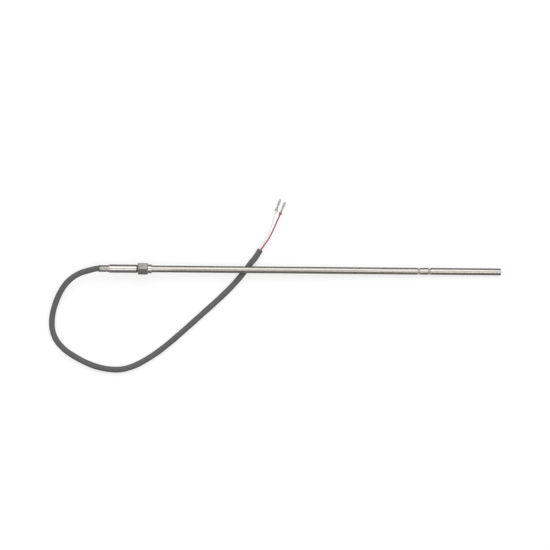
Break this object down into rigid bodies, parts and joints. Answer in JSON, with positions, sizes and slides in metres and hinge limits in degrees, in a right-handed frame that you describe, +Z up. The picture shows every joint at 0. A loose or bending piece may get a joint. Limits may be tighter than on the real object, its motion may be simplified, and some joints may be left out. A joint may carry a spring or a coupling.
{
  "type": "sheathed thermocouple probe",
  "caption": "Long slim metal-sheathed temperature probe with a rolled tip section, compression nut, crimped transition sleeve and a short two-core cable ending in crimp contacts.",
  "frame": {"origin": "on the surface that the probe lies on, under the middle of the probe (measured without the cable, leads and contacts)", "axes": "+X along the probe towards its tip, +Z up from the surface, +Y across; the probe is pitched 1.33 degrees tip down about Y because the sheath rests on its own cable"},
  "size_m": [0.4213, 0.1638, 0.0172],
  "materials": {
    "sheath_stainless": "drawn stainless steel, bright satin with fine lengthwise draw lines and a faint warm cast",
    "polished_stainless": "turned and polished stainless steel, nearly mirror bright round the axis",
    "plated_nut": "dull plated steel with a grainy, slightly worn surface",
    "ferrule_brass": "machined brass",
    "tinned_contact": "stamped and tinned brass sheet, matte grey",
    "ceramic": "unglazed fired ceramic, off-white",
    "cement": "cured refractory cement, chalky",
    "iron_wire": "drawn iron thermocouple wire",
    "constantan_wire": "drawn copper-nickel thermocouple wire",
    "potting": "cured black epoxy",
    "shrink_sleeve": "black heat-shrink sleeve",
    "cable_jacket": "matte dark grey flexible jacket with a faint twist from the cores beneath",
    "red_insulation": "red core insulation, satin",
    "white_insulation": "white core insulation, satin"
  },
  "bodies": {
    "probe": {"cable_jacket": "cable_jacket", "hot_junction": "constantan_wire", "inner_core_red": "red_insulation", "inner_core_white": "white_insulation", "insulator_1": "ceramic", "insulator_2": "ceramic", "insulator_3": "ceramic", "insulator_4": "ceramic", "insulator_5": "ceramic", "insulator_6": "ceramic", "insulator_7": "ceramic", "insulator_8": "ceramic", "jacket_clamped_end": "cable_jacket", "junction_cement": "cement", "lead_red": "red_insulation", "lead_white": "white_insulation", "locking_bush": "plated_nut", "potting_plug": "potting", "sheath_tube": "sheath_stainless", "splice_barrel_constantan": "tinned_contact", "splice_barrel_iron": "tinned_contact", "splice_sleeve_constantan": "shrink_sleeve", "splice_sleeve_iron": "shrink_sleeve", "terminal_red": "tinned_contact", "terminal_white": "tinned_contact", "thermo_wire_constantan": "constantan_wire", "thermo_wire_iron": "iron_wire", "tip_plug": "sheath_stainless", "transition_sleeve": "polished_stainless"},
    "gland_ferrule": {"ferrule": "ferrule_brass"},
    "gland_nut": {"compression_nut": "plated_nut"}
  },
  "joints": [
    {"name": "ferrule_slide", "type": "slide", "parent": "probe", "child": "gland_ferrule", "axis": [0.9997, 0, -0.0232], "range_m": [0, 0.00505]},
    {"name": "nut_spin", "type": "hinge", "parent": "gland_ferrule", "child": "gland_nut", "pos_m": [-0.14661, 0, 0.01091], "axis": [0.9997, 0, -0.0232], "range_deg": [0, 3600]}
  ],
  "couplings": [
    {"joint": "ferrule_slide", "follows": "nut_spin", "m_per_rad": 0.000079577}
  ]
}
